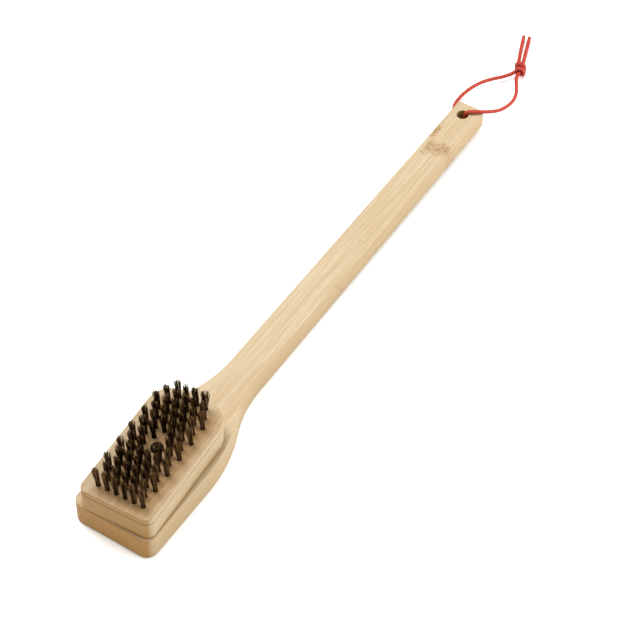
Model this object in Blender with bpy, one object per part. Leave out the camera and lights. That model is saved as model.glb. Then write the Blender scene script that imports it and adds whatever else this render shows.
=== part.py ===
"""Bamboo grill cleaning brush, lying on its back with the wire tufts up.

+X runs from the head to the hanging hole, +Z up. The origin is 230 mm behind the
board's front edge, on the surface that the brush lies on. "Along" is a distance behind that
front edge, and a head part is placed from the screw's axis.
"""
from math import atan, cos, pi, radians, sin, sqrt

import bmesh
import bpy
from mathutils import Vector

MM = 0.001
GAP = 0.3 * MM  # left between pieces that touch

# Board: paddle and handle in one piece
ORIGIN = 230 * MM  # along
LENGTH = 462 * MM
BOARD_THICKNESS = 19.5 * MM
END_THICKNESS = 14 * MM  # the handle's underside rises from the neck to its end
PADDLE_WIDTH = 64 * MM
FRONT_RADIUS = 8 * MM
SHOULDER = 66 * MM  # along, where the paddle starts to narrow
NECK = 157 * MM  # along, where the handle starts
NECK_WIDTH = 24 * MM
END_WIDTH = 22.5 * MM
END_RADIUS = 2.5 * MM
CONVEX_SHARE = 0.57  # of the shoulder's two arc radii
FRONT_STEPS, SHOULDER_STEPS, HANDLE_STEPS, END_STEPS = 8, 16, 14, 5
BOARD_EASE = 1 * MM
HOLE_ALONG = LENGTH - 12 * MM
HOLE_LEFT = 1.2 * MM  # the hole is a little left of the middle
HOLE_RADIUS = 4.4 * MM
HOLE_EASE = 0.6 * MM
CUT_PAST = 2 * MM  # how far a cutter runs past the face that it cuts
HOLE_SIDES = 24

# Brush block: a face ply over a core
HEAD_ALONG = 55.1 * MM  # the screw's axis
HEAD_TURN = radians(3.4)
BLOCK_HEIGHT = 20 * MM
FACE_THICKNESS = 4.8 * MM
BLOCK_FRONT = 53.8 * MM
BLOCK_REAR = 51 * MM
BLOCK_WIDTH = 56 * MM
BLOCK_FRONT_RADIUS = 6 * MM
BLOCK_REAR_RADIUS = 18 * MM
BLOCK_EASE = 0.9 * MM
SEAM_EASE = 0.35 * MM

# Tufts
ROWS = 13
ROW_PITCH = 7.35 * MM
COLUMN_PITCH = 6.95 * MM
TUFT_HEIGHT = 18.5 * MM
TUFT_RADIUS = 1.6 * MM
TUFT_TOP_RADIUS = 2.15 * MM
TUFT_SIDES = 8
TUFT_TAIL = 1.8 * MM  # how far a tuft's fold hangs below the face ply
WIRE_RADIUS = 0.5 * MM
WIRE_DEPTH = 1.1 * MM  # the drawing wire's centre, below the face ply
WIRE_SPARE = 2.2 * MM  # of wire past the last tuft
WIRE_SIDES = 6
FOLD_SHARE = 0.7  # a tuft's radius at the tip of its fold, against its full radius
FOLD_HEIGHT = 0.5 * MM
CHANNEL_DEPTH = 2.3 * MM

# Screw
SCREW_HEAD_RADIUS = 4.6 * MM
SCREW_HEAD_HEIGHT = 3 * MM
SHANK_RADIUS = 2.4 * MM
THREAD_ROOT = 1.7 * MM
THREAD_PITCH = 2 * MM
THREADS = 7
SCREW_LENGTH = 35 * MM
SCREW_TIP = 3.5 * MM
DRIVE_WIDTH = 1 * MM
DRIVE_REACH = 2.5 * MM
DRIVE_DEPTH = 1.6 * MM
SCREW_SIDES = 18
CLEARANCE_RADIUS = 2.9 * MM
PILOT_RADIUS = 2.7 * MM
PILOT_FLOOR = 3.5 * MM  # above the board's underside

# Cord
CORD_RADIUS = 1.25 * MM
KNOT_CENTRE = (529.8, -3.9, 5.2)
KNOT_SIZE = (13, 10, 9.8)
KNOT_HEADING = radians(28)

# Routes' own points: along, across and up, in millimetres
UPPER_ROUTE = (
    (452.1, -0.05, 11.3), (452.1, -0.05, 13.1), (452.1, -0.05, 15), (452.1, -0.05, 17.2),
    (452.35, -0.5, 19.55), (453.1, -2.05, 21.25), (454.6, -4.6, 21.65), (457.8, -9, 21.4),
    (463, -14.4, 20.1), (471, -18.5, 17.2), (481.3, -19.7, 13.5), (491.8, -19.1, 10.3),
    (501.2, -16.5, 8.1), (509.6, -12.2, 6.7), (516.3, -8.2, 6.2), (521.5, -5.9, 6.3),
)
LOWER_ROUTE = (
    (452.1, -0.05, 11), (452.1, -0.05, 9.5), (452.1, -0.05, 7.9), (452.5, 0.4, 5.6),
    (453.6, 1.8, 3.95), (455.2, 4, 3.25), (457.8, 8, 2.5), (460.9, 12.9, 1.8),
    (465.3, 17.2, 1.8), (471.8, 19.9, 2.6), (481.2, 19.7, 3.8), (490.8, 17.6, 4.7),
    (500.4, 14, 4.9), (508.2, 9.3, 4.7), (514.8, 4, 4.6), (519.8, 0.6, 4.6), (521.9, -0.5, 4.6),
)
LEFT_TAIL_ROUTE = (
    (536.3, 1.2, 5.4), (543.8, 4.5, 5), (552, 7.9, 4.2), (560, 11.2, 3.4), (565.4, 13.2, 3),
)
RIGHT_TAIL_ROUTE = (
    (537.9, -2.2, 5.4), (545.6, 0.7, 5), (554, 3.9, 4.2), (561.4, 6.8, 3.4), (566.7, 8.9, 3),
)
ROUTE_STEPS = 2  # tube points for each span of a run
TAIL_STEPS = 3


def material(name, colour, roughness, metallic=0.0):
    """A Principled material with one colour."""
    made = bpy.data.materials.new(name)
    made.use_nodes = True
    shader = made.node_tree.nodes["Principled BSDF"]
    shader.inputs["Base Color"].default_value = (*colour, 1)
    shader.inputs["Roughness"].default_value = roughness
    shader.inputs["Metallic"].default_value = metallic
    return made


def add_object(name, mesh, finish=None, parent=None):
    """A new object in the scene, which a parent may carry."""
    made = bpy.data.objects.new(name, mesh)
    bpy.context.scene.collection.objects.link(made)
    made.parent = parent
    if finish:
        mesh.materials.append(finish)
    return made


def mesh_from(vertices, faces, smooth=False):
    """A closed mesh with its faces turned outwards."""
    mesh = bpy.data.meshes.new("shape")
    mesh.from_pydata(vertices, [], faces)
    work = bmesh.new()
    work.from_mesh(mesh)
    bmesh.ops.recalc_face_normals(work, faces=work.faces)
    work.to_mesh(mesh)
    work.free()
    if smooth:
        mesh.shade_smooth()
        mesh.set_sharp_from_angle(angle=radians(40))
    return mesh


def rings_mesh(rings, smooth=False):
    """A closed mesh through a stack of rings, each with the same number of points."""
    count = len(rings[0])
    faces = [list(range(count)), list(range(len(rings) * count - count, len(rings) * count))]
    for level in range(len(rings) - 1):
        low, high = level * count, (level + 1) * count
        for i in range(count):
            j = (i + 1) % count
            faces.append((low + i, low + j, high + j, high + i))
    return mesh_from([point for ring in rings for point in ring], faces, smooth)


def turned_mesh(profile, sides, centre=(0, 0), smooth=False):
    """A solid turned about an upright axis, from (radius, height) points in order of height."""
    rings = []
    for radius, height in profile:
        turns = [2 * pi * i / sides for i in range(sides)]
        rings.append([(centre[0] + radius * cos(a), centre[1] + radius * sin(a), height) for a in turns])
    return rings_mesh(rings, smooth)


def joined_mesh(meshes):
    """Several closed meshes in one."""
    work = bmesh.new()
    for mesh in meshes:
        work.from_mesh(mesh)
    joined = bpy.data.meshes.new("shape")
    work.to_mesh(joined)
    work.free()
    return joined


def box_mesh(low, high):
    """A box between two corners."""
    rings = []
    for z in (low[2], high[2]):
        rings.append([(low[0], low[1], z), (high[0], low[1], z), (high[0], high[1], z), (low[0], high[1], z)])
    return rings_mesh(rings)


def boolean(target, tool_mesh, operation="DIFFERENCE"):
    """Cut or join a tool with the target, in the target's own space, and keep the result as its mesh."""
    tool = add_object("tool", tool_mesh)
    bpy.context.view_layer.update()
    tool.matrix_world = target.matrix_world
    step = target.modifiers.new("boolean", "BOOLEAN")
    step.object = tool
    step.operation = operation
    bpy.context.view_layer.update()
    shaped = target.evaluated_get(bpy.context.evaluated_depsgraph_get())
    target.data = bpy.data.meshes.new_from_object(shaped)
    target.modifiers.clear()
    bpy.data.objects.remove(tool)
    target.data.shade_smooth()
    target.data.set_sharp_from_angle(angle=radians(40))


# ---- Board ----

def world_x(along):
    """World X of a distance behind the board's front edge."""
    return along - ORIGIN


def underside(along):
    """Height of the board's underside."""
    return (BOARD_THICKNESS - END_THICKNESS) * max(0, along - NECK) / (LENGTH - NECK)


def shoulder_drop(run, total_run, total_drop):
    """How far an S of two tangent arcs has dropped after a run."""
    turn = 2 * atan(total_drop / total_run)
    radii = total_run / sin(turn)
    convex = CONVEX_SHARE * radii
    concave = radii - convex
    if run < convex * sin(turn):
        return convex - sqrt(convex**2 - run**2)
    return total_drop - (concave - sqrt(concave**2 - (total_run - run) ** 2))


def half_width(along):
    """Half the board's width."""
    paddle, neck, end = PADDLE_WIDTH / 2, NECK_WIDTH / 2, END_WIDTH / 2
    if along < FRONT_RADIUS:
        return paddle - FRONT_RADIUS + sqrt(FRONT_RADIUS**2 - (FRONT_RADIUS - along) ** 2)
    if along < SHOULDER:
        return paddle
    if along < NECK:
        return paddle - shoulder_drop(along - SHOULDER, NECK - SHOULDER, paddle - neck)
    taper = neck + (end - neck) * (along - NECK) / (LENGTH - NECK)
    into_end = min(END_RADIUS, max(0, along - (LENGTH - END_RADIUS)))
    return taper - END_RADIUS + sqrt(END_RADIUS**2 - into_end**2)


def board_stations():
    """Distances along the board where its outline gets points, in the groups that share one flat face."""
    corner = [FRONT_RADIUS * (1 - cos(pi / 2 * i / FRONT_STEPS)) for i in range(FRONT_STEPS + 1)]
    shoulder = [SHOULDER + (NECK - SHOULDER) * i / SHOULDER_STEPS for i in range(SHOULDER_STEPS + 1)]
    handle_end = LENGTH - END_RADIUS
    handle = [NECK + (handle_end - NECK) * i / HANDLE_STEPS for i in range(1, HANDLE_STEPS + 1)]
    end = [LENGTH - END_RADIUS * (1 - sin(pi / 2 * i / END_STEPS)) for i in range(1, END_STEPS + 1)]
    strips = shoulder + handle
    groups = [corner + [SHOULDER]]
    for i in range(len(strips) - 1):
        groups.append(strips[i : i + 2])
    return groups + [[handle_end] + end]


def board_mesh():
    """The board's square-edged solid: one flat face round each pair of corners, strips between them."""
    vertices = []
    faces = []
    for group in board_stations():
        first = max(0, len(vertices) - 4)
        for along in group if not vertices else group[1:]:
            x, wide, low, high = world_x(along), half_width(along), underside(along), BOARD_THICKNESS
            vertices += [(x, -wide, low), (x, wide, low), (x, wide, high), (x, -wide, high)]
        starts = list(range(first, len(vertices), 4))
        faces.append([i for i in starts] + [i + 1 for i in reversed(starts)])
        faces.append([i + 3 for i in starts] + [i + 2 for i in reversed(starts)])
        for i in starts[:-1]:
            faces.append((i, i + 4, i + 7, i + 3))
            faces.append((i + 1, i + 5, i + 6, i + 2))
    last = len(vertices) - 4
    faces += [(0, 1, 2, 3), (last, last + 1, last + 2, last + 3)]
    return mesh_from(vertices, faces)


def make_board(finish):
    """Paddle and handle with eased edges, the hanging hole and the screw's pilot hole."""
    board = add_object("handle_board", board_mesh(), finish)
    ease = board.modifiers.new("eased_edges", "BEVEL")
    ease.width = BOARD_EASE
    ease.segments = 3
    ease.limit_method = "ANGLE"
    ease.angle_limit = radians(50)
    ease.use_clamp_overlap = False
    low, high, past = underside(HOLE_ALONG), BOARD_THICKNESS, CUT_PAST
    wide = HOLE_RADIUS + HOLE_EASE
    hole = [
        (wide + past, low - past), (wide, low), (HOLE_RADIUS, low + HOLE_EASE),
        (HOLE_RADIUS, high - HOLE_EASE), (wide, high), (wide + past, high + past),
    ]
    boolean(board, turned_mesh(hole, HOLE_SIDES, (world_x(HOLE_ALONG), HOLE_LEFT)))
    pilot = [(PILOT_RADIUS, PILOT_FLOOR), (PILOT_RADIUS, BOARD_THICKNESS + past)]
    boolean(board, turned_mesh(pilot, HOLE_SIDES, (world_x(HEAD_ALONG), 0)))


# ---- Brush block ----

def block_ring(height, inset):
    """The block's outline at a height, drawn in by an inset."""
    wide = BLOCK_WIDTH / 2 - inset
    ring = []
    for quarter in range(4):
        front = quarter in (1, 2)
        radius = (BLOCK_FRONT_RADIUS if front else BLOCK_REAR_RADIUS) - inset
        reach = (BLOCK_FRONT if front else BLOCK_REAR) - inset - radius
        centre_x = -reach if front else reach
        centre_y = (wide - radius) * (1 if quarter < 2 else -1)
        steps = 5 if front else 9
        for i in range(steps + 1):
            angle = pi / 2 * (quarter + i / steps)
            ring.append((centre_x + radius * cos(angle), centre_y + radius * sin(angle), height))
    return ring


def slab_mesh(low, high, low_ease, high_ease):
    """A flat slab of the block with rounded edges."""
    rings = []
    for i in range(3):
        angle = pi / 4 * i
        rings.append(block_ring(low + low_ease * (1 - sin(angle)), low_ease * (1 - cos(angle))))
    rings.reverse()
    for i in range(3):
        angle = pi / 4 * i
        rings.append(block_ring(high - high_ease * (1 - sin(angle)), high_ease * (1 - cos(angle))))
    return rings_mesh(rings)


BLOCK_TOP = BOARD_THICKNESS + BLOCK_HEIGHT
FACE_UNDERSIDE = BLOCK_TOP - FACE_THICKNESS
CORE_TOP = FACE_UNDERSIDE - GAP


def row_places(row):
    """The tufts' places across a row, in column pitches. The screw stands in place of four tufts."""
    middle = ROWS // 2
    places = [-2, -1, 0, 1, 2] if row % 2 else [-2.5, -1.5, -0.5, 0.5, 1.5, 2.5]
    if row == ROWS - 1:
        places = places[1:-1]
    if abs(row - middle) == 1:
        places.remove(0)
    if row == middle:
        places = [place for place in places if abs(place) > 1]
    return places


def row_x(row):
    """A row's distance from the screw's axis."""
    return (row - ROWS // 2) * ROW_PITCH


def row_parts(row):
    """A row's name and places, in two halves where the screw parts it."""
    name, places = f"tuft_row_{row + 1:02d}", row_places(row)
    if abs(row - ROWS // 2) > 1:
        return {name: places}
    return {f"{name}_left": [p for p in places if p > 0], f"{name}_right": [p for p in places if p < 0]}


def make_face_ply(finish, head):
    """The top ply, drilled through for every tuft and for the screw."""
    slab = slab_mesh(FACE_UNDERSIDE, BLOCK_TOP, SEAM_EASE, BLOCK_EASE)
    face = add_object("block_face_ply", slab, finish, head)
    low, high = FACE_UNDERSIDE - CUT_PAST, BLOCK_TOP + CUT_PAST
    drills = [turned_mesh([(CLEARANCE_RADIUS, low), (CLEARANCE_RADIUS, high)], HOLE_SIDES)]
    hole = TUFT_RADIUS + GAP
    for row in range(ROWS):
        for place in row_places(row):
            at = (row_x(row), place * COLUMN_PITCH)
            drills.append(turned_mesh([(hole, low), (hole, high)], TUFT_SIDES, at))
    boolean(face, joined_mesh(drills))


def make_core(finish, head):
    """The thick lower ply, with a channel under each row of tufts."""
    slab = slab_mesh(BOARD_THICKNESS + GAP, CORE_TOP, SEAM_EASE, SEAM_EASE)
    core = add_object("block_core", slab, finish, head)
    boolean(core, turned_mesh([(CLEARANCE_RADIUS, 0), (CLEARANCE_RADIUS, BLOCK_TOP)], HOLE_SIDES))
    wide = TUFT_RADIUS + GAP
    channels = []
    for row in range(ROWS):
        reach = row_places(row)[-1] * COLUMN_PITCH + WIRE_SPARE + GAP
        low = (row_x(row) - wide, -reach, CORE_TOP - CHANNEL_DEPTH)
        channels.append(box_mesh(low, (row_x(row) + wide, reach, CORE_TOP + CUT_PAST)))
    boolean(core, joined_mesh(channels))


def make_tuft_row(name, row, places, finish, head):
    """The tufts of one row, held by the wire that they are folded over."""
    ends = [min(places) * COLUMN_PITCH - WIRE_SPARE, max(places) * COLUMN_PITCH + WIRE_SPARE]
    level = FACE_UNDERSIDE - WIRE_DEPTH
    turns = [2 * pi * i / WIRE_SIDES for i in range(WIRE_SIDES)]
    rings = []
    for y in ends:
        rings.append([(row_x(row) + WIRE_RADIUS * cos(a), y, level + WIRE_RADIUS * sin(a)) for a in turns])
    wire = add_object(name, rings_mesh(rings), finish, head)
    tail = FACE_UNDERSIDE - TUFT_TAIL
    tufts = []
    for place in places:
        profile = [
            (TUFT_RADIUS * FOLD_SHARE, tail), (TUFT_RADIUS, tail + FOLD_HEIGHT),
            (TUFT_RADIUS, BLOCK_TOP), (TUFT_TOP_RADIUS, BLOCK_TOP + TUFT_HEIGHT),
        ]
        tufts.append(turned_mesh(profile, TUFT_SIDES, (row_x(row), place * COLUMN_PITCH)))
    boolean(wire, joined_mesh(tufts), "UNION")


# ---- Screw ----

def screw_profile():
    """Radius and height from the tip up to the crown of the head."""
    seat = BLOCK_TOP + GAP
    tip = seat - SCREW_LENGTH
    profile = [(0.3 * MM, tip), (THREAD_ROOT, tip + SCREW_TIP)]
    for turn in range(THREADS):
        low = tip + SCREW_TIP + turn * THREAD_PITCH
        profile += [
            (SHANK_RADIUS, low + 0.4 * THREAD_PITCH), (SHANK_RADIUS, low + 0.5 * THREAD_PITCH),
            (THREAD_ROOT, low + 0.9 * THREAD_PITCH), (THREAD_ROOT, low + THREAD_PITCH),
        ]
    shoulder = tip + SCREW_TIP + THREADS * THREAD_PITCH
    profile += [(SHANK_RADIUS, shoulder + MM), (SHANK_RADIUS, seat), (SCREW_HEAD_RADIUS * 0.95, seat)]
    for i in range(6):
        angle = radians(12 + 13 * i)
        profile.append((SCREW_HEAD_RADIUS * cos(angle) ** 0.6, seat + SCREW_HEAD_HEIGHT * sin(angle)))
    return profile


def make_screw(finish, head):
    """The pan-head wood screw with its cross recess."""
    screw = add_object("head_screw", turned_mesh(screw_profile(), SCREW_SIDES), finish, head)
    top = BLOCK_TOP + GAP + SCREW_HEAD_HEIGHT
    floor = top - DRIVE_DEPTH
    for across in (False, True):
        half = (DRIVE_WIDTH / 2, DRIVE_REACH) if across else (DRIVE_REACH, DRIVE_WIDTH / 2)
        boolean(screw, box_mesh((-half[0], -half[1], floor), (half[0], half[1], top + CUT_PAST)))


# ---- Cord ----

def route_point(point):
    """A route's point in world metres."""
    return Vector((world_x(point[0] * MM), point[1] * MM, point[2] * MM))


def smooth_route(points, steps):
    """Points along one smooth curve through a route's own points."""
    own = [route_point(point) for point in points]
    own = [2 * own[0] - own[1]] + own + [2 * own[-1] - own[-2]]
    line = []
    for i in range(1, len(own) - 2):
        a, b, c, d = own[i - 1 : i + 3]
        for step in range(steps):
            t = step / steps
            square, cube = 2 * a - 5 * b + 4 * c - d, 3 * b - 3 * c + d - a
            line.append(b + ((c - a) * t + square * t**2 + cube * t**3) / 2)
    return line + [own[-2]]


def make_cord(name, points, steps, finish):
    """A round cord along a route."""
    curve = bpy.data.curves.new(name, "CURVE")
    curve.dimensions = "3D"
    curve.bevel_depth = CORD_RADIUS
    curve.bevel_resolution = 2
    curve.use_fill_caps = True
    line = smooth_route(points, steps)
    spline = curve.splines.new("POLY")
    spline.points.add(len(line) - 1)
    for point, place in zip(spline.points, line):
        point.co = (*place, 1)
    add_object(name, curve, finish)


def make_knot(finish):
    """The overhand knot's outer shape, a rounded lump."""
    work = bmesh.new()
    bmesh.ops.create_uvsphere(work, u_segments=20, v_segments=12, radius=0.5)
    mesh = bpy.data.meshes.new("cord_knot")
    work.to_mesh(mesh)
    work.free()
    mesh.shade_smooth()
    knot = add_object("cord_knot", mesh, finish)
    knot.scale = [size * MM for size in KNOT_SIZE]
    knot.rotation_euler.z = KNOT_HEADING
    knot.location = route_point(KNOT_CENTRE)


def main():
    """Builds the whole brush."""
    for old in list(bpy.data.objects):
        bpy.data.objects.remove(old)
    board_bamboo = material("board_bamboo", (0.72, 0.52, 0.29), 0.55)
    block_bamboo = material("block_bamboo", (0.68, 0.48, 0.26), 0.55)
    bristle_wire = material("bristle_wire", (0.045, 0.03, 0.02), 0.4, 0.8)
    black_screw = material("black_screw", (0.03, 0.022, 0.018), 0.35, 0.6)
    red_cord = material("red_cord", (0.62, 0.06, 0.04), 0.5)
    make_board(board_bamboo)
    head = add_object("head", None)
    head.location.x = world_x(HEAD_ALONG)
    head.rotation_euler.z = HEAD_TURN
    bpy.context.view_layer.update()
    make_face_ply(block_bamboo, head)
    make_core(block_bamboo, head)
    for row in range(ROWS):
        for name, places in row_parts(row).items():
            make_tuft_row(name, row, places, bristle_wire, head)
    make_screw(black_screw, head)
    make_cord("cord_upper_run", UPPER_ROUTE, ROUTE_STEPS, red_cord)
    make_cord("cord_lower_run", LOWER_ROUTE, ROUTE_STEPS, red_cord)
    make_cord("cord_tail_left", LEFT_TAIL_ROUTE, TAIL_STEPS, red_cord)
    make_cord("cord_tail_right", RIGHT_TAIL_ROUTE, TAIL_STEPS, red_cord)
    make_knot(red_cord)


main()
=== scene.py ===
"""Bamboo grill cleaning brush, lying on its back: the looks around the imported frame.

+X runs from the head to the hanging hole, +Z up. "Along" is a distance behind the board's
front edge, and a head part is placed from the screw's axis.
"""
import random
from math import atan, cos, pi, radians, sin, sqrt

import bmesh
import bpy
from mathutils import Matrix, Vector


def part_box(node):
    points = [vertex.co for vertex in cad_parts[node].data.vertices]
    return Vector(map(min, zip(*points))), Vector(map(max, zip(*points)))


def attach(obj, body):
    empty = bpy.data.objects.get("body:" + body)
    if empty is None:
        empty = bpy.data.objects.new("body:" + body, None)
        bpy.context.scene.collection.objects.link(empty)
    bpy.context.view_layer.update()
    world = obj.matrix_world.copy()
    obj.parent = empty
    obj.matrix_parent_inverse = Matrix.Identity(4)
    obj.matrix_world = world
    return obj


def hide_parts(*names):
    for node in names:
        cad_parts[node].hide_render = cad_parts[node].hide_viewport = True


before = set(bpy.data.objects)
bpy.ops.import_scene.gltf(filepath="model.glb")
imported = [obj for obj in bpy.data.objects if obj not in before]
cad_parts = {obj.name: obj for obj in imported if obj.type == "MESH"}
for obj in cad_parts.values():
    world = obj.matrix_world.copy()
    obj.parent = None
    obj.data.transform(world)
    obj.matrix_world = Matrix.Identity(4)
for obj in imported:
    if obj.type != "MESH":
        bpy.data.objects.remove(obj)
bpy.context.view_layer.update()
MM = 0.001
random.seed(7)

# ---- The frame's sizes ----

BOARD_LOW, BOARD_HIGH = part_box("handle_board")
FACE_LOW, FACE_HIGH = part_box("block_face_ply")
CORE_LOW, CORE_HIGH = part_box("block_core")
SCREW_LOW, SCREW_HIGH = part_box("head_screw")
LENGTH = BOARD_HIGH.x - BOARD_LOW.x
BOARD_THICKNESS = BOARD_HIGH.z
PADDLE_WIDTH = BOARD_HIGH.y - BOARD_LOW.y
BLOCK_TOP = FACE_HIGH.z
FACE_UNDERSIDE = FACE_LOW.z
SCREW_X = (SCREW_LOW.x + SCREW_HIGH.x) / 2

# Solids
CUT_PAST = 2 * MM  # how far a cutter runs past the face that it cuts
SHARP_ANGLE = radians(38)  # faces that meet more steeply keep a crisp edge

# Board
FRONT_RADIUS = 8 * MM
SHOULDER = 66 * MM
NECK = 157 * MM
NECK_WIDTH = 24 * MM
END_WIDTH = 22.5 * MM
END_RADIUS = 2.5 * MM
END_THICKNESS = 14 * MM
CONVEX_SHARE = 0.57
BOARD_EASE = 1.1 * MM
HOLE_ALONG = LENGTH - 12 * MM
HOLE_LEFT = 1.2 * MM
HOLE_RADIUS = 4.4 * MM
HOLE_EASE = 0.6 * MM
HOLE_EASE_STEPS = 4
HOLE_SIDES = 64
FRONT_STEPS, SHOULDER_STEPS, HANDLE_STEPS, END_STEPS = 14, 48, 40, 8
PILOT_RADIUS = 2.7 * MM
PILOT_FLOOR = 3.5 * MM  # above the board's underside
PILOT_SIDES = 40

# Block
HEAD_TURN = radians(3.4)
BLOCK_FRONT = 53.8 * MM
BLOCK_REAR = 51 * MM
BLOCK_WIDTH = 56 * MM
BLOCK_FRONT_RADIUS = 6 * MM
BLOCK_REAR_RADIUS = 18 * MM
BLOCK_EASE = 0.9 * MM
SEAM_EASE = 0.22 * MM
SLAB_EASE_STEPS = 5
FRONT_CORNER_STEPS, REAR_CORNER_STEPS = 12, 24
CLEARANCE_RADIUS = 2.9 * MM
CLEARANCE_SIDES = 32

# Tufts
ROWS = 13
ROW_PITCH = 7.35 * MM
COLUMN_PITCH = 6.95 * MM
TUFT_HEIGHT = 18.2 * MM
TUFT_RADIUS = 1.6 * MM
TUFT_TOP_RADIUS = 2.35 * MM
TUFT_HOLE = 1.85 * MM
TUFT_HOLE_SIDES = 20
WIRES = 48
WIRE_RADIUS = 0.17 * MM
WIRE_RINGS = 8
CRIMP = 0.13 * MM
CRIMP_LENGTH = 4.2 * MM
GOLDEN_ANGLE = 2.39996  # spreads the wires evenly over a tuft
LEAN_X, LEAN_Y = (-0.9, -0.2), (0.5, 1.2)  # of a tuft's top, in millimetres
LEFT_LEAN = 0.5 * MM  # more, for the tufts along the left edge
CUT_LENGTHS = (-2.1, 0.2)  # of a wire against the tuft's height, in millimetres
STRAY_SHARE = 0.08  # of the wires
STRAY_REACH = (0.5, 1.7)  # millimetres
PAINTED_INNER_SHADE = 0.2  # painted shade: how much darker the tufts behind the front row and right column are drawn

# Screw
SCREW_SIDES = 48
SCREW_HEAD_RADIUS = 4.6 * MM
SCREW_HEAD_HEIGHT = 3 * MM
SCREW_HEAD_STEPS = 12
SCREW_CROWN = 0.3 * MM  # radius of the head's topmost ring
SCREW_TIP = 4 * MM
THREAD_PITCH = 2 * MM
THREAD_LENGTH = 18.5 * MM
THREAD_ROOT = 1.6 * MM
THREAD_DEPTH = 0.78 * MM
THREAD_HALF_WIDTH = 0.22  # of the pitch
DRIVE_DEPTH = 1.9 * MM
DRIVE_REACH = 2.6 * MM
DRIVE_HALF_WIDTH = 0.55 * MM

# Cord
CORD_RADIUS = 1.45 * MM
WRAP_RADIUS = 1.15 * MM  # the knot's outer turns, pulled tight
KNOT_HEADING = radians(28)
KNOT_SQUEEZE = 0.88  # of the turns along the knot's axis
KNOT_STEPS = 8
ROUTE_STEPS = 6

# Routes' own points: along, across and up, in millimetres
UPPER_ROUTE = (
    (452.1, -0.05, 11.3), (452.1, -0.05, 13.1), (452.1, -0.05, 15), (452.1, -0.05, 17.2),
    (452.35, -0.5, 19.55), (453.1, -2.05, 21.25), (454.6, -4.6, 21.65), (457.8, -9, 21.4),
    (463, -14.4, 20.1), (471, -18.5, 17.2), (481.3, -19.7, 13.5), (491.8, -19.1, 10.3),
    (501.2, -16.5, 8.1), (509.6, -12.2, 6.7), (516.3, -8.2, 6.2), (521.5, -5.9, 6.3),
)
LOWER_ROUTE = (
    (452.1, -0.05, 11), (452.1, -0.05, 9.5), (452.1, -0.05, 7.9), (452.5, 0.4, 5.6),
    (453.6, 1.8, 3.95), (455.2, 4, 3.25), (457.8, 8, 2.5), (460.9, 12.9, 1.8),
    (465.3, 17.2, 1.8), (471.8, 19.9, 2.6), (481.2, 19.7, 3.8), (490.8, 17.6, 4.7),
    (500.4, 14, 4.9), (508.2, 9.3, 4.7), (514.8, 4, 4.6), (519.8, 0.6, 4.6), (521.9, -0.5, 4.6),
)
LEFT_TAIL_ROUTE = (
    (536.3, 1.2, 5.4), (543.8, 4.5, 5), (552, 7.9, 4.2), (560, 11.2, 3.4), (565.4, 13.2, 3),
)
RIGHT_TAIL_ROUTE = (
    (537.9, -2.2, 5.4), (545.6, 0.7, 5), (554, 3.9, 4.2), (561.4, 6.8, 3.4), (566.7, 8.9, 3),
)
UPPER_THROUGH = ((526.6, -5.6, 5.3), (531.5, -4.4, 5.2))
LOWER_THROUGH = ((526.3, -2.5, 5.3), (531, -2.2, 5.2))

# Turns round the knot's axis: along it in millimetres, turn in degrees, and radius in millimetres
UPPER_WRAP = (
    (3.6, -100, 2.6), (3.7, -40, 3.2), (3.5, 20, 3.5), (2.6, 80, 3.6), (1.4, 140, 3.6),
    (-0.4, 190, 3.5), (-2.4, 230, 3.1), (-3.6, 280, 2.4),
)
LOWER_WRAP = (
    (-1.6, -100, 2.5), (-1.5, -45, 3), (-1.6, 10, 3.35), (-2.3, 70, 3.4), (-3.3, 125, 3.3),
    (-4.2, 175, 3), (-4.4, 225, 2.6),
)
WRAP_STARTS = ((-0.7, -1.5), (1.1, 0.3))  # of each pair's two turns, along the axis


# ---- Camera, light and floor ----

WARM_WHITE = (1, 0.985, 0.96)
FLOOR_COLOUR = (0.93, 0.925, 0.915, 1)
FLOOR_REACH = 6
FLOOR_DROP = 0.2 * MM


def add_camera():
    """A long lens, looking down along the brush from in front of its head, a little to the right."""
    azimuth, elevation, roll = radians(-56.98), radians(50.11), radians(0.33)
    target = Vector((-0.0023, -0.0157, 0.01))
    distance = 1.69
    back = Vector((sin(azimuth) * cos(elevation), -cos(azimuth) * cos(elevation), sin(elevation)))
    level = Vector((0, 0, 1)).cross(back).normalized()
    rise = back.cross(level)
    right = level * cos(roll) + rise * sin(roll)
    up = back.cross(right)
    camera = bpy.data.objects.new("camera", bpy.data.cameras.new("camera"))
    camera.data.lens = 134.4
    camera.data.clip_end = 20
    aim = Matrix((right, up, back)).transposed().to_4x4()
    camera.matrix_world = Matrix.Translation(target + back * distance) @ aim
    bpy.context.scene.collection.objects.link(camera)
    bpy.context.scene.camera = camera


def add_light(name, place, size, watts, colour=(1, 1, 1)):
    """A square softbox that faces the middle of the brush."""
    lamp = bpy.data.lights.new(name, "AREA")
    lamp.shape = "RECTANGLE"
    lamp.size, lamp.size_y = size
    lamp.energy = watts
    lamp.color = colour
    made = bpy.data.objects.new(name, lamp)
    made.location = place
    made.rotation_euler = Vector(place).to_track_quat("Z", "Y").to_euler()
    bpy.context.scene.collection.objects.link(made)


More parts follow.
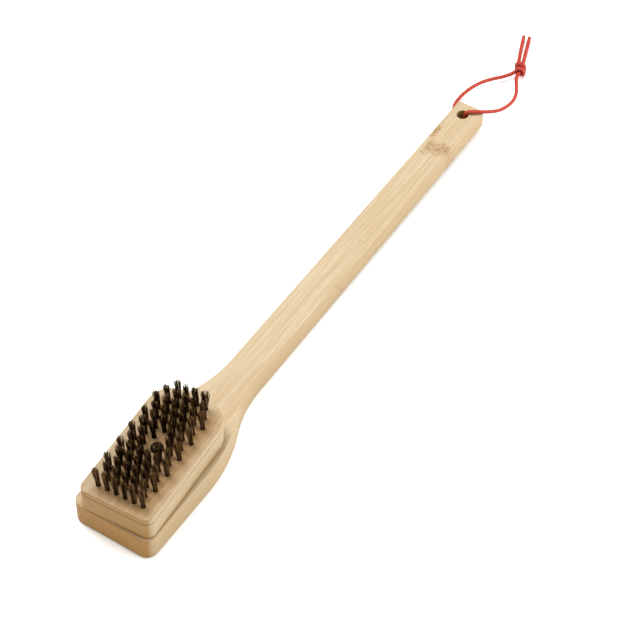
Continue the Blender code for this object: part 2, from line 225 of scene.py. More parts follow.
def add_studio():
    """A pale floor and world, with soft boxes above, at the left and at the right."""
    scene = bpy.context.scene
    scene.view_settings.view_transform = "Standard"
    world = bpy.data.worlds.new("studio")
    world.use_nodes = True
    background = world.node_tree.nodes["Background"]
    background.inputs["Color"].default_value = (*WARM_WHITE, 1)
    background.inputs["Strength"].default_value = 0.75
    scene.world = world
    add_light("overhead", (0.3, 0.2, 2.2), (1.6, 1.6), 27)
    add_light("key", (0.05, 0.85, 1.85), (0.8, 0.8), 35, WARM_WHITE)
    add_light("right_fill", (0.9, -1.6, 0.8), (1.2, 0.9), 37)
    far = FLOOR_REACH
    corners = [(-far, -far, 0), (far, -far, 0), (far, far, 0), (-far, far, 0)]
    floor = add_object("floor", mesh_from(corners, [(0, 1, 2, 3)]))
    white = Graph("floor_white")
    white.shader.inputs["Base Color"].default_value = FLOOR_COLOUR
    white.shader.inputs["Roughness"].default_value = 0.9
    floor.data.materials.append(white.material)
    floor.location.z = -FLOOR_DROP


# ---- Shader nodes ----

class Graph:
    """A node material, with short ways to add and link nodes."""

    def __init__(self, name):
        self.material = bpy.data.materials.new(name)
        self.material.use_nodes = True
        self.tree = self.material.node_tree
        self.shader = self.tree.nodes["Principled BSDF"]

    def add(self, kind, feeds=(), **settings):
        """A node with its settings, and with its inputs fed by name or index."""
        node = self.tree.nodes.new("ShaderNode" + kind)
        for key, value in settings.items():
            setattr(node, key, value)
        for key, value in dict(feeds).items():
            self.feed(node.inputs[key], value)
        return node

    def feed(self, socket, value):
        """Link a socket, or set its own value."""
        if isinstance(value, bpy.types.NodeSocket):
            self.tree.links.new(value, socket)
        else:
            socket.default_value = value

    def math(self, operation, a, b=0.5, c=0.5):
        """One step of arithmetic."""
        return self.add("Math", {0: a, 1: b, 2: c}, operation=operation).outputs[0]

    def mix(self, factor, a, b, blend="MIX"):
        """Two colours, mixed."""
        node = self.add("Mix", data_type="RGBA", blend_type=blend)
        self.feed(node.inputs["Factor"], factor)
        self.feed(node.inputs["A"], a)
        self.feed(node.inputs["B"], b)
        return node.outputs["Result"]

    def step(self, value, low, high, start=0.0, end=1.0):
        """A smooth step from start to end as a value goes from low to high."""
        feeds = {"Value": value, "From Min": low, "From Max": high, "To Min": start, "To Max": end}
        return self.add("MapRange", feeds, interpolation_type="SMOOTHSTEP").outputs[0]

    def noise(self, vector, scale=1.0, detail=2.0, roughness=0.5):
        """A noise from 0 to 1."""
        feeds = {"Vector": vector, "Scale": scale, "Detail": detail, "Roughness": roughness}
        return self.add("TexNoise", feeds).outputs[0]

    def scaled(self, vector, scale):
        """A vector scaled on each axis."""
        return self.add("VectorMath", {0: vector, 1: scale}, operation="MULTIPLY").outputs[0]

    def bump(self, height, distance, strength=1.0, under=None):
        """A bump normal from a height."""
        feeds = {"Height": height, "Distance": distance, "Strength": strength}
        if under:
            feeds["Normal"] = under
        return self.add("Bump", feeds).outputs[0]


# ---- Materials ----

# Tints of a bamboo's own colours, and of the painted shade among the tufts and painted shadow beside the
# block
VEIN_TINT = (0.92, 0.82, 0.66)
NODE_TINT = (0.66, 0.5, 0.28)
GLUE_TINT = (0.55, 0.4, 0.25)
PAINTED_SHADE_AMONG_TUFTS_TINT = (0.75, 0.58, 0.36, 1)
PAINTED_SHADOW_ROUND_BLOCK_TINT = (0.92, 0.76, 0.52, 1)
BLOCK_PORE, BLOCK_FIBRE = (0.7, 0.47, 0.25), (0.92, 0.7, 0.45)
BOARD_PORE, BOARD_FIBRE = (0.62, 0.42, 0.21), (1.06, 0.85, 0.53)

DARK_WIRE, WORN_WIRE = (0.01, 0.0034, 0.0005, 1), (0.145, 0.077, 0.028, 1)
BLACK_OXIDE, WORN_STEEL = (0.03, 0.018, 0.01, 1), (0.1, 0.068, 0.04, 1)
DEEP_RED, BRIGHT_RED, SPECK_RED = (0.245, 0.02, 0.012, 1), (0.35, 0.044, 0.025, 1), (0.19, 0.009, 0.007, 1)


def bamboo(name, light, dark, side, bands, strip, first_joint, tufted=False):
    """Laminated bamboo: strips along X with fine fibres, dashed bands at the nodes, dotted end grain, and
    painted shade round the block and among its tufts.
    """
    g = Graph(name)
    place = g.add("TexCoord").outputs["Object"]
    axes = g.add("SeparateXYZ", {0: place}).outputs
    facing = g.add("SeparateXYZ", {0: g.add("TexCoord").outputs["Normal"]}).outputs
    # Each strip has its own tone, and its own stretch of the noises
    lane = g.math("FLOOR", g.math("DIVIDE", g.math("SUBTRACT", axes[1], first_joint), strip))
    tone = g.add("TexWhiteNoise", {"W": lane}, noise_dimensions="1D").outputs["Value"]
    own_x = g.math("MULTIPLY_ADD", tone, 3.7, axes[0])
    shifted = g.add("CombineXYZ", {0: own_x, 1: axes[1], 2: axes[2]}).outputs[0]
    fine = g.noise(g.scaled(shifted, (17, 1500, 1500)), detail=3, roughness=0.65)
    streak = g.noise(g.scaled(shifted, (15, 820, 820)), detail=2, roughness=0.6)
    broad = g.noise(g.scaled(shifted, (6, 170, 170)), detail=1)
    pale = g.math("MULTIPLY_ADD", fine, 0.55, g.math("MULTIPLY", streak, 0.45))
    own_tone = g.math("MULTIPLY_ADD", tone, 0.08, -0.11)
    pale = g.math("ADD", pale, g.math("MULTIPLY_ADD", broad, 0.14, own_tone))
    colour = g.mix(g.step(pale, 0.33, 0.67), dark, light)
    vein = g.noise(g.scaled(shifted, (22, 900, 900)), detail=2, roughness=0.7)
    vein = g.math("MULTIPLY", g.step(vein, 0.57, 0.72), 0.6)
    colour = g.mix(vein, colour, tinted(dark, VEIN_TINT))
    for band in bands:
        colour = g.mix(node_band(g, place, axes, band), colour, tinted(dark, NODE_TINT))
    if tufted:
        from_seam = g.math("ABSOLUTE", g.math("SUBTRACT", axes[2], FACE_UNDERSIDE))
        glue = g.step(from_seam, 0.7 * MM, 0.25 * MM, 0, 0.8)
        colour = g.mix(glue, colour, tinted(dark, GLUE_TINT))
        # Painted shade: the block's top is drawn darker and browner among the tufts, where their shadows and
        # bounce light fall.
        painted_shade = painted_shade_field(g, place, (6 * MM, 2.5 * MM), (55 * MM, 42 * MM), (29 * MM, 17 * MM))
        colour = g.mix(painted_shade, colour, g.mix(1.0, colour, PAINTED_SHADE_AMONG_TUFTS_TINT, "MULTIPLY"))
        pore, fibre = BLOCK_PORE, BLOCK_FIBRE
    else:
        # Painted shadow: the board's top is drawn darker and browner in a narrow band round the block, where
        # the block's shadow falls.
        painted_shade = painted_shade_field(g, place, (9 * MM, 0), (52 * MM, 40 * MM), (31 * MM, 28.2 * MM))
        painted_shade = g.math("MULTIPLY", painted_shade, g.step(facing[2], 0.6, 0.9))
        colour = g.mix(painted_shade, colour, g.mix(1.0, colour, PAINTED_SHADOW_ROUND_BLOCK_TINT, "MULTIPLY"))
        pore, fibre = BOARD_PORE, BOARD_FIBRE
    end = g.step(g.math("ABSOLUTE", facing[0]), 0.45, 0.8)
    pores = {"Vector": g.scaled(place, (60, 1250, 1250)), "Scale": 1.0, "Randomness": 0.85}
    speck = g.step(g.add("TexVoronoi", pores).outputs["Distance"], 0.2, 0.55)
    colour = g.mix(end, colour, g.mix(speck, tinted(side, pore), tinted(side, fibre)))
    # The long sides take the side tone: partly the strips' edge grain, partly painted bounce light that
    # makes them browner.
    side_grain_and_bounce = g.step(g.math("ABSOLUTE", facing[1]), 0.6, 0.97, 0, 0.65)
    g.feed(g.shader.inputs["Base Color"], g.mix(side_grain_and_bounce, colour, side))
    g.feed(g.shader.inputs["Roughness"], g.step(pale, 0.2, 0.8, 0.55, 0.42))
    g.feed(g.shader.inputs["Specular IOR Level"], g.step(end, 0, 1, 0.35, 0.15))
    lines = g.bump(fine, 0.04 * MM, 0.5)
    dots = g.bump(g.math("MULTIPLY", speck, end), 0.08 * MM, 0.5, lines)
    g.feed(g.shader.inputs["Normal"], dots)
    return g.material


def painted_shade_field(g, place, shift, along, across):
    """Where shade is painted: how far a place is inside limits round the block's middle, given as (outer,
    inner) pairs.
    """
    back = g.add("VectorMath", {0: place, 1: (SCREW_X, 0, 0)}, operation="SUBTRACT").outputs[0]
    feeds = {"Vector": back, "Angle": -HEAD_TURN}
    turned = g.add("VectorRotate", feeds, rotation_type="Z_AXIS").outputs[0]
    axes = g.add("SeparateXYZ", {0: turned}).outputs
    far_x, far_y = (g.math("ABSOLUTE", g.math("ADD", axes[i], shift[i])) for i in (0, 1))
    return g.math("MULTIPLY", g.step(far_x, *along), g.step(far_y, *across))


def tinted(colour, tint):
    """A colour times a tint."""
    return (*(part * by for part, by in zip(colour, tint)), 1)


def node_band(g, place, axes, band):
    """A band of dark dashes across a strip.

    A band has its middle, its slants by Y and Z, its Y range, half its width, and its depth.
    """
    x, slant_y, slant_z, low, high, half, depth = band
    fade = 0.4 * MM
    off = g.math("SUBTRACT", axes[0], g.math("MULTIPLY_ADD", axes[1], slant_y, x))
    below = g.math("SUBTRACT", axes[2], BOARD_THICKNESS)
    off = g.math("SUBTRACT", off, g.math("MULTIPLY", below, slant_z))
    wander = g.math("MULTIPLY", g.math("SUBTRACT", g.noise(place, 330, detail=3), 0.5), 2.4 * half)
    near = g.step(g.math("ABSOLUTE", g.math("ADD", off, wander)), 1.25 * half, 0.4 * half)
    past_low = g.step(axes[1], low - fade, low + fade)
    inside = g.math("MULTIPLY", past_low, g.step(axes[1], high + fade, high - fade))
    cells = {"Vector": g.scaled(place, (420, 800, 500)), "Scale": 1.0, "Randomness": 1.0}
    dash = g.step(g.add("TexVoronoi", cells).outputs["Distance"], 0.65, 0.3, 0.5, 1.0)
    blotch = g.noise(g.scaled(place, (210, 480, 480)), detail=3, roughness=0.7)
    blotch = g.step(blotch, 0.36, 0.58, 0.4, 1.0)
    strength = g.math("MULTIPLY", g.math("MULTIPLY", dash, blotch), depth)
    return g.math("MULTIPLY", g.math("MULTIPLY", near, inside), strength)


def bristle_wire():
    """Dark oxidised wire, each wire a little lighter or darker than the next, and darker as painted shade in
    the tufts behind the front row and right column.
    """
    g = Graph("bristle_wire")
    shade = g.add("Attribute", attribute_name="shade").outputs["Fac"]
    place = g.add("TexCoord").outputs["Object"]
    blotch = g.noise(g.scaled(place, (900, 900, 260)), detail=2)
    tone = g.math("MULTIPLY_ADD", blotch, 0.5, g.math("MULTIPLY", shade, 0.5))
    g.feed(g.shader.inputs["Base Color"], g.mix(g.step(tone, 0.32, 0.68), DARK_WIRE, WORN_WIRE))
    g.feed(g.shader.inputs["Roughness"], g.step(tone, 0.2, 0.9, 0.7, 0.45))
    g.shader.inputs["Specular IOR Level"].default_value = 0.05
    return g.material


def black_screw():
    """Black oxide on steel, worn a little in random patches."""
    g = Graph("black_screw")
    place = g.add("TexCoord").outputs["Object"]
    worn = g.step(g.noise(place, 1400, detail=4, roughness=0.7), 0.55, 0.8)
    g.feed(g.shader.inputs["Base Color"], g.mix(worn, BLACK_OXIDE, WORN_STEEL))
    g.feed(g.shader.inputs["Roughness"], g.step(worn, 0, 1, 0.5, 0.66))
    g.shader.inputs["Metallic"].default_value = 1
    g.feed(g.shader.inputs["Normal"], g.bump(g.noise(place, 2600, detail=3), 0.03 * MM, 0.5))
    return g.material


def red_cord():
    """Smooth round leather cord, dyed red, with fine creases and darker specks."""
    g = Graph("red_cord")
    place = g.add("TexCoord").outputs["Object"]
    crease = g.noise(place, 1100, detail=4, roughness=0.65)
    speck = g.math("MULTIPLY", g.step(g.noise(place, 480, detail=2), 0.54, 0.68), 0.65)
    colour = g.mix(g.step(crease, 0.3, 0.7), DEEP_RED, BRIGHT_RED)
    g.feed(g.shader.inputs["Base Color"], g.mix(speck, colour, SPECK_RED))
    g.feed(g.shader.inputs["Roughness"], g.step(crease, 0.25, 0.75, 0.55, 0.42))
    g.shader.inputs["Specular IOR Level"].default_value = 0.16
    g.feed(g.shader.inputs["Normal"], g.bump(crease, 0.06 * MM, 0.45))
    return g.material


# ---- Mesh helpers ----

def add_object(name, data):
    """A new object in the scene."""
    made = bpy.data.objects.new(name, data)
    bpy.context.scene.collection.objects.link(made)
    return made


def mesh_from(vertices, faces):
    """A mesh with its faces turned outwards."""
    mesh = bpy.data.meshes.new("shape")
    mesh.from_pydata(vertices, [], faces)
    work = bmesh.new()
    work.from_mesh(mesh)
    bmesh.ops.recalc_face_normals(work, faces=work.faces)
    work.to_mesh(mesh)
    work.free()
    return mesh


def rings_mesh(rings):
    """A closed mesh through a stack of rings, each with the same number of points."""
    count = len(rings[0])
    faces = [list(range(count)), list(range(len(rings) * count - count, len(rings) * count))]
    for level in range(len(rings) - 1):
        low, high = level * count, (level + 1) * count
        for i in range(count):
            j = (i + 1) % count
            faces.append((low + i, low + j, high + j, high + i))
    return mesh_from([point for ring in rings for point in ring], faces)


def turned_mesh(profile, sides, centre=(0, 0)):
    """A solid turned about an upright axis, from (radius, height) points in order of height."""
    turns = [2 * pi * i / sides for i in range(sides)]
    rings = []
    for radius, height in profile:
        rings.append([(centre[0] + radius * cos(a), centre[1] + radius * sin(a), height) for a in turns])
    return rings_mesh(rings)


def joined_mesh(meshes):
    """Several closed meshes in one."""
    work = bmesh.new()
    for mesh in meshes:
        work.from_mesh(mesh)
    joined = bpy.data.meshes.new("shape")
    work.to_mesh(joined)
    work.free()
    return joined


def cut(target, tool_mesh):
    """Cut a tool's shape out of the target, and keep the result as its mesh."""
    tool = add_object("tool", tool_mesh)
    step = target.modifiers.new("cut", "BOOLEAN")
    step.object = tool
    bpy.context.view_layer.update()
    shaped = target.evaluated_get(bpy.context.evaluated_depsgraph_get())
    target.data = bpy.data.meshes.new_from_object(shaped)
    target.modifiers.clear()
    bpy.data.objects.remove(tool)


def finish_solid(piece, body, node, material):
    """Smooth the rounded edges, paint the piece and put it in its node's place."""
    piece.data.shade_smooth()
    piece.data.set_sharp_from_angle(angle=SHARP_ANGLE)
    weigh = piece.modifiers.new("flat_faces", "WEIGHTED_NORMAL")
    weigh.keep_sharp = True
    piece.data.materials.clear()
    piece.data.materials.append(material)
    place_piece(piece, body, node)


def place_piece(piece, body, node):
    """The piece rides on its body and stands for its node."""
    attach(piece, body)
    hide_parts(node)


# ---- Board ----

def world_x(along):
    """World X of a distance behind the board's front edge."""
    return BOARD_LOW.x + along


def underside(along):
    """Height of the board's underside."""
    return (BOARD_THICKNESS - END_THICKNESS) * max(0, along - NECK) / (LENGTH - NECK)


def shoulder_drop(run, total_run, total_drop):
    """How far an S of two tangent arcs has dropped after a run."""
    turn = 2 * atan(total_drop / total_run)
    radii = total_run / sin(turn)
    convex = CONVEX_SHARE * radii
    concave = radii - convex
    if run < convex * sin(turn):
        return convex - sqrt(convex**2 - run**2)
    return total_drop - (concave - sqrt(concave**2 - (total_run - run) ** 2))


def half_width(along):
    """Half the board's width."""
    paddle, neck, end = PADDLE_WIDTH / 2, NECK_WIDTH / 2, END_WIDTH / 2
    if along < FRONT_RADIUS:
        return paddle - FRONT_RADIUS + sqrt(FRONT_RADIUS**2 - (FRONT_RADIUS - along) ** 2)
    if along < SHOULDER:
        return paddle
    if along < NECK:
        return paddle - shoulder_drop(along - SHOULDER, NECK - SHOULDER, paddle - neck)
    taper = neck + (end - neck) * (along - NECK) / (LENGTH - NECK)
    into_end = min(END_RADIUS, max(0, along - (LENGTH - END_RADIUS)))
    return taper - END_RADIUS + sqrt(END_RADIUS**2 - into_end**2)


def board_stations():
    """Distances along the board, in the groups that share one flat face."""
    corner = [FRONT_RADIUS * (1 - cos(pi / 2 * i / FRONT_STEPS)) for i in range(FRONT_STEPS + 1)]
    shoulder = [SHOULDER + (NECK - SHOULDER) * i / SHOULDER_STEPS for i in range(SHOULDER_STEPS + 1)]
    handle_end = LENGTH - END_RADIUS
    handle = [NECK + (handle_end - NECK) * i / HANDLE_STEPS for i in range(1, HANDLE_STEPS + 1)]
    end = [LENGTH - END_RADIUS * (1 - sin(pi / 2 * i / END_STEPS)) for i in range(1, END_STEPS + 1)]
    strips = shoulder + handle
    groups = [corner + [SHOULDER]]
    for i in range(len(strips) - 1):
        groups.append(strips[i : i + 2])
    return groups + [[handle_end] + end]


def board_mesh():
    """The board's square-edged solid: one flat face round each pair of corners, strips between them."""
    vertices = []
    faces = []
    for group in board_stations():
        first = max(0, len(vertices) - 4)
        for along in group if not vertices else group[1:]:
            x, wide, low, high = world_x(along), half_width(along), underside(along), BOARD_THICKNESS
            vertices += [(x, -wide, low), (x, wide, low), (x, wide, high), (x, -wide, high)]
        starts = list(range(first, len(vertices), 4))
        faces.append(starts + [i + 1 for i in reversed(starts)])
        faces.append([i + 3 for i in starts] + [i + 2 for i in reversed(starts)])
        for i in starts[:-1]:
            faces.append((i, i + 4, i + 7, i + 3))
            faces.append((i + 1, i + 5, i + 6, i + 2))
    last = len(vertices) - 4
    faces += [(0, 1, 2, 3), (last, last + 1, last + 2, last + 3)]
    return mesh_from(vertices, faces)


def add_board(material):
    """Paddle and handle, with eased edges and an eased hanging hole."""
    board = add_object("bamboo_board", board_mesh())
    ease = board.modifiers.new("eased_edges", "BEVEL")
    ease.width = BOARD_EASE
    ease.segments = 4
    ease.limit_method = "ANGLE"
    ease.angle_limit = radians(50)
    ease.use_clamp_overlap = False
    low, high = underside(HOLE_ALONG), BOARD_THICKNESS
    outside = HOLE_RADIUS + HOLE_EASE + CUT_PAST
    lower, upper = [], []
    for i in range(HOLE_EASE_STEPS + 1):
        angle = pi / 2 * i / HOLE_EASE_STEPS
        radius = HOLE_RADIUS + HOLE_EASE * (1 - sin(angle))
        lower.append((radius, low + HOLE_EASE * (1 - cos(angle))))
        upper.append((radius, high - HOLE_EASE * (1 - cos(angle))))
    hole = [(outside, low - CUT_PAST)] + lower + upper[::-1] + [(outside, high + CUT_PAST)]
    cut(board, turned_mesh(hole, HOLE_SIDES, (world_x(HOLE_ALONG), HOLE_LEFT)))
    pilot = [(PILOT_RADIUS, PILOT_FLOOR), (PILOT_RADIUS, BOARD_THICKNESS + CUT_PAST)]
    cut(board, turned_mesh(pilot, PILOT_SIDES, (SCREW_X, 0)))
    finish_solid(board, "board", "handle_board", material)


# ---- Block ----

def block_ring(height, inset):
    """The block's outline at a height, drawn in by an inset."""
    wide = BLOCK_WIDTH / 2 - inset
    ring = []
    for quarter in range(4):
        front = quarter in (1, 2)
        radius = (BLOCK_FRONT_RADIUS if front else BLOCK_REAR_RADIUS) - inset
        reach = (BLOCK_FRONT if front else BLOCK_REAR) - inset - radius
        centre_x = -reach if front else reach
        centre_y = (wide - radius) * (1 if quarter < 2 else -1)
        steps = FRONT_CORNER_STEPS if front else REAR_CORNER_STEPS
        for i in range(steps + 1):
            angle = pi / 2 * (quarter + i / steps)
            ring.append((centre_x + radius * cos(angle), centre_y + radius * sin(angle), height))
    return ring


def slab_mesh(low, high, low_ease, high_ease):
    """A flat slab of the block with rounded edges."""
    lower, upper = [], []
    for i in range(SLAB_EASE_STEPS + 1):
        angle = pi / 2 * i / SLAB_EASE_STEPS
        up, inset = 1 - sin(angle), 1 - cos(angle)
        lower.append(block_ring(low + low_ease * up, low_ease * inset))
        upper.append(block_ring(high - high_ease * up, high_ease * inset))
    return rings_mesh(lower[::-1] + upper)


def row_places(row):
    """The tufts' places across a row, in column pitches. The screw stands in place of four tufts."""
    middle = ROWS // 2
    places = [-2, -1, 0, 1, 2] if row % 2 else [-2.5, -1.5, -0.5, 0.5, 1.5, 2.5]
    if row == ROWS - 1:
        places = places[1:-1]
    if abs(row - middle) == 1:
        places.remove(0)
    if row == middle:
        places = [place for place in places if abs(place) > 1]
    return places


def row_x(row):
    """A row's distance from the screw's axis."""
    return (row - ROWS // 2) * ROW_PITCH


def row_parts(row):
    """A row's node and places, in two halves where the screw parts it."""
    name, places = f"tuft_row_{row + 1:02d}", row_places(row)
    if abs(row - ROWS // 2) > 1:
        return {name: places}
    return {f"{name}_left": [p for p in places if p > 0], f"{name}_right": [p for p in places if p < 0]}


def turn_head(piece):
    """Move a head part from the screw's own frame to its place on the paddle."""
    piece.data.transform(Matrix.Translation((SCREW_X, 0, 0)) @ Matrix.Rotation(HEAD_TURN, 4, "Z"))


def add_block(material):
    """The two plies, with a hole for every tuft and for the screw."""
    face = add_object("block_top_ply", slab_mesh(FACE_UNDERSIDE, BLOCK_TOP, SEAM_EASE, BLOCK_EASE))
    core = add_object("block_lower_ply", slab_mesh(CORE_LOW.z, CORE_HIGH.z, SEAM_EASE, SEAM_EASE))
    bore = [(CLEARANCE_RADIUS, CORE_LOW.z - CUT_PAST), (CLEARANCE_RADIUS, BLOCK_TOP + CUT_PAST)]
    hole = [(TUFT_HOLE, FACE_UNDERSIDE - CUT_PAST), (TUFT_HOLE, BLOCK_TOP + CUT_PAST)]
    cut(core, turned_mesh(bore, CLEARANCE_SIDES))
    drills = [turned_mesh(bore, CLEARANCE_SIDES)]
    for row in range(ROWS):
        for place in row_places(row):
            at = (row_x(row), place * COLUMN_PITCH)
            drills.append(turned_mesh(hole, TUFT_HOLE_SIDES, at))
    cut(face, joined_mesh(drills))
    for piece, node in ((face, "block_face_ply"), (core, "block_core")):
        turn_head(piece)
        finish_solid(piece, "head", node, material)


# ---- Tufts ----

def tuft_wires(centre, vertices, faces, shades):
    """One tuft: a tight bundle of crimped wires that opens towards its ragged top."""
    lean = Vector((random.uniform(*LEAN_X), random.uniform(*LEAN_Y))) * MM
    if centre[1] > 1.9 * COLUMN_PITCH:
        lean.y += LEFT_LEAN
    clump = random.uniform(0, 2 * pi)
    frayed = centre[0] > 5.9 * ROW_PITCH and centre[1] < -1.4 * COLUMN_PITCH
    outer = centre[0] < -5.5 * ROW_PITCH or centre[1] < -1.9 * COLUMN_PITCH
    for wire in range(WIRES):
        share = sqrt((wire + 0.5) / WIRES)
        turn = wire * GOLDEN_ANGLE + random.uniform(-0.25, 0.25)
        spread = TUFT_TOP_RADIUS * share * random.uniform(0.85, 1.2)
        if random.random() < STRAY_SHARE or (frayed and cos(turn + 1) > 0.5):
            spread += random.uniform(*STRAY_REACH) * MM * (1.6 if frayed else 1)
        height = TUFT_HEIGHT + random.uniform(*CUT_LENGTHS) * MM - 0.5 * MM * share
        phase, swing = random.uniform(0, 2 * pi), random.uniform(0, 2 * pi)
        shade = 0.5 * random.random() + 0.25 * (1 + sin(3 * turn + clump))
        # Painted shade: the tufts behind the front row and the right column are drawn darker.
        if not outer:
            shade -= PAINTED_INNER_SHADE
        start = len(vertices)
        low = FACE_UNDERSIDE + MM
        for ring in range(WIRE_RINGS):
            up = ring / (WIRE_RINGS - 1)
            z = low + (BLOCK_TOP + height - low) * up
            rise = max(0, z - BLOCK_TOP) / TUFT_HEIGHT
            out = (TUFT_RADIUS - WIRE_RADIUS) * share * (1 - rise) + spread * rise
            wave = CRIMP * sin(2 * pi * z / CRIMP_LENGTH + phase) * min(1, 3 * rise)
            x = centre[0] + out * cos(turn) + wave * cos(swing) + lean.x * rise
            y = centre[1] + out * sin(turn) + wave * sin(swing) + lean.y * rise
            for corner in range(3):
                angle = turn + 2 * pi * corner / 3
                vertices.append((x + WIRE_RADIUS * cos(angle), y + WIRE_RADIUS * sin(angle), z))
                shades.append(shade)
        for ring in range(WIRE_RINGS - 1):
            for corner in range(3):
                a, b = start + ring * 3 + corner, start + ring * 3 + (corner + 1) % 3
                faces.append((a, b, b + 3, a + 3))
        faces.append((start + 2, start + 1, start))
        top = start + 3 * (WIRE_RINGS - 1)
        faces.append((top, top + 1, top + 2))


def add_tufts(material):
    """Every row's wires, one piece for each row of the frame."""
    for row in range(ROWS):
        for node, places in row_parts(row).items():
            vertices, faces, shades = [], [], []
            for place in places:
                tuft_wires((row_x(row), place * COLUMN_PITCH), vertices, faces, shades)
            mesh = bpy.data.meshes.new(node)
            mesh.from_pydata(vertices, [], faces)
            mesh.attributes.new("shade", "FLOAT", "POINT").data.foreach_set("value", shades)
            mesh.shade_smooth()
            mesh.materials.append(material)
            piece = add_object(node.replace("tuft", "wire"), mesh)
            turn_head(piece)
            place_piece(piece, "head", node)


# ---- Screw ----

def screw_mesh():
    """Pan head over a shank with a true helical thread."""
    tip = SCREW_LOW.z
    seat = SCREW_HIGH.z - SCREW_HEAD_HEIGHT
    turns = [2 * pi * i / SCREW_SIDES for i in range(SCREW_SIDES)]
    rings = []
    steps = int((seat - tip) / (THREAD_PITCH / 10))
    for i in range(steps + 1):
        z = tip + (seat - tip) * i / steps
        point = max(0.08, min(1, (z - tip) / SCREW_TIP))
        ring = []
        for angle in turns:
            turn = ((z - tip) / THREAD_PITCH - angle / (2 * pi)) % 1
            ridge = 0.85
            if z < tip + THREAD_LENGTH:
                ridge = max(0, 1 - abs(turn - 0.5) / THREAD_HALF_WIDTH)
            radius = (THREAD_ROOT + THREAD_DEPTH * ridge) * point
            ring.append((radius * cos(angle), radius * sin(angle), z))
        rings.append(ring)
    for i in range(SCREW_HEAD_STEPS + 1):
        rise = pi / 2 * i / SCREW_HEAD_STEPS
        radius = SCREW_HEAD_RADIUS * cos(rise) ** 0.55 if i < SCREW_HEAD_STEPS else SCREW_CROWN
        z = seat + SCREW_HEAD_HEIGHT * sin(rise)
        rings.append([(radius * cos(angle), radius * sin(angle), z) for angle in turns])
    return rings_mesh(rings)


def add_screw(material):
    """The black pan-head screw, with a cross recess that narrows downwards."""
    screw = add_object("pan_head_screw", screw_mesh())
    top = SCREW_HIGH.z
    for across in (False, True):
        rings = []
        for z, share in ((top - DRIVE_DEPTH, 0.55), (top + MM, 1.15)):
            long, thin = DRIVE_REACH * share, DRIVE_HALF_WIDTH * (0.6 + 0.4 * share)
            x, y = (thin, long) if across else (long, thin)
            rings.append([(-x, -y, z), (x, -y, z), (x, y, z), (-x, y, z)])
        cut(screw, rings_mesh(rings))
    turn_head(screw)
    finish_solid(screw, "screw", "head_screw", material)


# ---- Cord ----

def route_point(point):
    """A route's point in world metres."""
    return Vector((world_x(point[0] * MM), point[1] * MM, point[2] * MM))


def smooth_route(points, steps):
    """Points along one smooth curve through a route's own points."""
    return smooth_line([route_point(point) for point in points], steps)


def smooth_line(places, steps):
    """Points along one smooth curve through places."""
    own = [2 * places[0] - places[1]] + places + [2 * places[-1] - places[-2]]
    line = []
    for i in range(1, len(own) - 2):
        a, b, c, d = own[i - 1 : i + 3]
        for step in range(steps):
            t = step / steps
            square, cube = 2 * a - 5 * b + 4 * c - d, 3 * b - 3 * c + d - a
            line.append(b + ((c - a) * t + square * t**2 + cube * t**3) / 2)
    return line + [own[-2]]


def cord_curve(name, line, material, radius=CORD_RADIUS):
    """A round cord along a line, as a curve."""
    curve = bpy.data.curves.new(name, "CURVE")
    curve.dimensions = "3D"
    curve.bevel_depth = radius
    curve.bevel_resolution = 6
    curve.use_fill_caps = True
    spline = curve.splines.new("POLY")
    spline.points.add(len(line) - 1)
    for point, place in zip(spline.points, line):
        point.co = (*place, 1)
    spline.use_smooth = True
    curve.materials.append(material)
    return add_object(name, curve)


def knot_strand(points, start):
    """A strand that turns round the knot's axis, from a start along it."""
    low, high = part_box("cord_knot")
    centre = (low + high) / 2
    axis = Vector((cos(KNOT_HEADING), sin(KNOT_HEADING), 0))
    left = Vector((-sin(KNOT_HEADING), cos(KNOT_HEADING), 0))
    up = Vector((0, 0, 1))
    places = []
    for along, turn, radius in points:
        across = left * cos(radians(turn)) + up * sin(radians(turn))
        places.append(centre + (axis * (KNOT_SQUEEZE * along + start) + across * radius) * MM)
    return smooth_line(places, KNOT_STEPS)


def add_cords(material):
    """The hanging cord: two runs out of the hole, the knot, and two blunt tails."""
    knot = add_knot(material)
    for name, route in (("cord_upper_run", UPPER_ROUTE), ("cord_lower_run", LOWER_ROUTE)):
        line = smooth_route(route, ROUTE_STEPS)
        piece = cord_curve(name.replace("cord", "red_cord"), line, material)
        place_piece(piece, "board", name)
    for name, route in (("cord_tail_left", LEFT_TAIL_ROUTE), ("cord_tail_right", RIGHT_TAIL_ROUTE)):
        line = smooth_route(route, ROUTE_STEPS)
        piece = cord_curve(name.replace("cord", "red_cord"), line, material)
        place_piece(piece, "board", name)


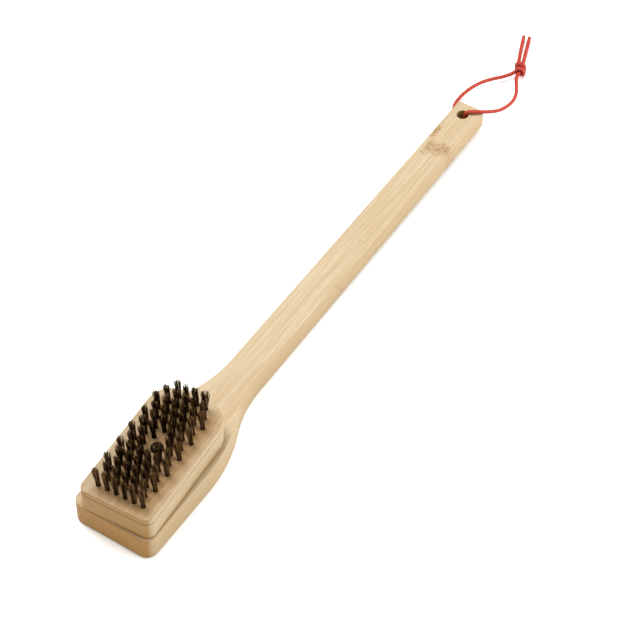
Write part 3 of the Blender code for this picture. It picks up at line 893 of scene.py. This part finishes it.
def add_knot(material):
    """An overhand knot of the doubled cord: both strands run through, and two pairs wrap round them."""
    through = [
        smooth_route([UPPER_ROUTE[-1], *UPPER_THROUGH, RIGHT_TAIL_ROUTE[0]], KNOT_STEPS),
        smooth_route([LOWER_ROUTE[-1], *LOWER_THROUGH, LEFT_TAIL_ROUTE[0]], KNOT_STEPS),
    ]
    strands = [(line, CORD_RADIUS) for line in through]
    for upper_start, lower_start in WRAP_STARTS:
        strands.append((knot_strand(UPPER_WRAP, upper_start), WRAP_RADIUS))
        strands.append((knot_strand(LOWER_WRAP, lower_start), WRAP_RADIUS))
    meshes = []
    for i, (line, radius) in enumerate(strands):
        piece = cord_curve(f"strand_{i}", line, material, radius)
        bpy.context.view_layer.update()
        shaped = piece.evaluated_get(bpy.context.evaluated_depsgraph_get())
        meshes.append(bpy.data.meshes.new_from_object(shaped))
        bpy.data.objects.remove(piece)
    mesh = joined_mesh(meshes)
    mesh.shade_smooth()
    mesh.materials.clear()
    mesh.materials.append(material)
    knot = add_object("red_cord_knot", mesh)
    place_piece(knot, "board", "cord_knot")
    return knot


# ---- The brush ----

# Light and dark of the top, and the sides' tone, which is partly the strips' edge grain and partly painted
# bounce light
BOARD_TONES = (0.388, 0.317, 0.218, 1), (0.302, 0.218, 0.115, 1), (0.306, 0.206, 0.091, 1)
BLOCK_TONES = (0.355, 0.28, 0.183, 1), (0.27, 0.187, 0.091, 1), (0.345, 0.262, 0.146, 1)
BOARD_BANDS = (
    (0.178, -0.2, 0, -11.6 * MM, 7.6 * MM, 7.2 * MM, 1),
    (0.1935, 0, 0, 6.8 * MM, 12 * MM, 10 * MM, 1),
    (0.0175, -0.55, -0.63, -13 * MM, -10.9 * MM, 1.9 * MM, 0.95),
    (0.07, 0.2, 0, 9 * MM, 14 * MM, 2 * MM, 0.3),
)
BOARD_STRIP, BOARD_JOINT = 19.6 * MM, 7.6 * MM  # a strip's width, and where one starts
BLOCK_STRIP, BLOCK_JOINT = 18.7 * MM, 2.1 * MM

add_camera()
add_studio()
add_cords(red_cord())
add_board(bamboo("board_bamboo", *BOARD_TONES, BOARD_BANDS, BOARD_STRIP, BOARD_JOINT))
add_block(bamboo("block_bamboo", *BLOCK_TONES, (), BLOCK_STRIP, BLOCK_JOINT, tufted=True))
add_tufts(bristle_wire())
add_screw(black_screw())
